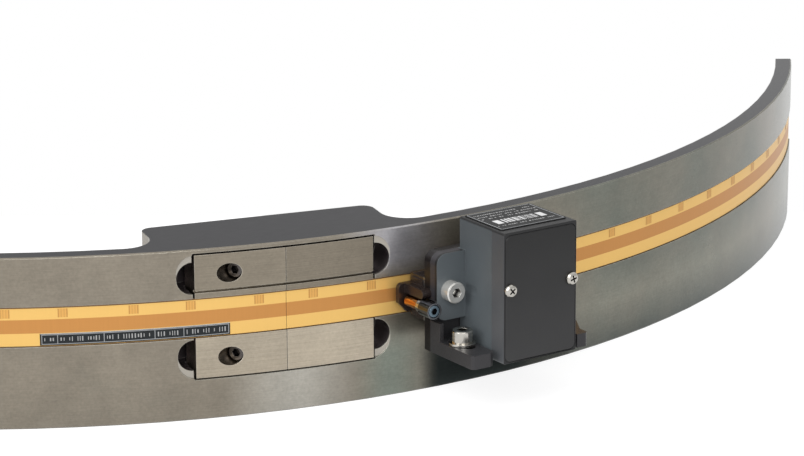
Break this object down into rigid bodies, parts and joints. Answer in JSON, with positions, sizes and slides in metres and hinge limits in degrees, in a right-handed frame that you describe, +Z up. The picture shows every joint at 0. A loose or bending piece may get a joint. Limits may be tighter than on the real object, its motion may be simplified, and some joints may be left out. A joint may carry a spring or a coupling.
{
  "type": "angle encoder",
  "caption": "Modular angle encoder: a slim steel drum with a graduated tape clamped round it, and a compact scanning head on a slotted bracket that reads the tape.",
  "frame": {"origin": "on the drum's axis, at the drum's lower face", "axes": "+Z up along the drum's axis; -Y from the axis through the middle of the scanning head; +X along the circumference to the head's right, seen from outside"},
  "size_m": [0.574, 0.613, 0.0612],
  "materials": {
    "drum_steel": "fine turned",
    "cleat_steel": "fine ground along the drum",
    "graduation": "gold-coloured steel band, etched tracks",
    "strip_black": "satin black with a thin pale border",
    "bright_steel": "plated screws",
    "dark_steel": "oiled",
    "housing_grey": "blue-grey anodised",
    "cover_black": "charcoal, fine satin",
    "bracket_dark": "dark grey anodised",
    "frame_dark": "black-brown anodised",
    "rubber_black": "matt",
    "plate_black": "black foil with a silver border",
    "inlet_nickel": "nickel plated",
    "board_green": "solder mask",
    "chip_black": "moulded",
    "optical_glass": "polished, chrome grating on the tape side",
    "shim_metal": "bright rolled",
    "lamp_clear": "clear resin",
    "silicon": "polished, bluish",
    "lead_amber": "amber film",
    "blued_steel": "blued",
    "copper": "bright copper"
  },
  "bodies": {
    "drum": {"drum_ring": "drum_steel", "scale_tape": "graduation", "name_strip": "strip_black", "cleat_right_half": "cleat_steel", "cleat_fixing_screws": "dark_steel", "cleat_dowels": "dark_steel"},
    "tension_cleat": {"cleat_left_half": "cleat_steel"},
    "upper_tension_screw": {"tension_screw_upper": "dark_steel"},
    "lower_tension_screw": {"tension_screw_lower": "dark_steel"},
    "foot_fasteners": {"foot_screws": "bright_steel", "foot_washers": "bright_steel"},
    "head": {"bracket": "bracket_dark", "head_housing": "housing_grey", "front_cover": "cover_black", "cover_gasket": "rubber_black", "cover_screws": "bright_steel", "ear_screws": "bright_steel", "top_plate": "plate_black", "cable_inlet": "inlet_nickel", "inlet_seal": "rubber_black", "circuit_board": "board_green", "board_components": "chip_black", "board_screws": "bright_steel", "scanning_frame": "frame_dark", "reticle_glass": "optical_glass", "spacer_shim": "shim_metal", "frame_screws": "dark_steel", "sensor_board": "board_green", "condenser_lens": "optical_glass", "light_source": "lamp_clear", "photo_detectors": "silicon", "flat_lead": "lead_amber"},
    "gap_adjuster": {"adjuster_screw": "blued_steel", "adjuster_collar": "bright_steel", "adjuster_tip": "copper"}
  },
  "joints": [
    {"name": "drum_turn", "type": "hinge", "parent": "drum", "child": "foot_fasteners", "pos_m": [0, 0, 0.0283], "axis": [0, 0, 1], "continuous": true},
    {"name": "gap_setting", "type": "slide", "parent": "foot_fasteners", "child": "head", "axis": [0, -1, 0], "range_m": [0, 0.0015]},
    {"name": "tape_tension", "type": "slide", "parent": "drum", "child": "tension_cleat", "axis": [-0.9724, 0.2334, 0], "range_m": [0, 0.0004]},
    {"name": "upper_screw_turn", "type": "hinge", "parent": "drum", "child": "upper_tension_screw", "pos_m": [-0.08586, -0.27454, 0.0481], "axis": [-0.8526, -0.5225, 0], "range_deg": [0, 210]},
    {"name": "lower_screw_turn", "type": "hinge", "parent": "drum", "child": "lower_tension_screw", "pos_m": [-0.08586, -0.27454, 0.0204], "axis": [-0.8526, -0.5225, 0], "range_deg": [0, 210]},
    {"name": "adjuster_turn", "type": "hinge", "parent": "head", "child": "gap_adjuster", "pos_m": [-0.0278, -0.3, 0.0329], "axis": [0, -1, 0], "range_deg": [-180, 180]}
  ],
  "couplings": [
    {"joint": "upper_screw_turn", "follows": "tape_tension", "rad_per_m": 8885.8},
    {"joint": "lower_screw_turn", "follows": "tape_tension", "rad_per_m": 8885.8}
  ]
}
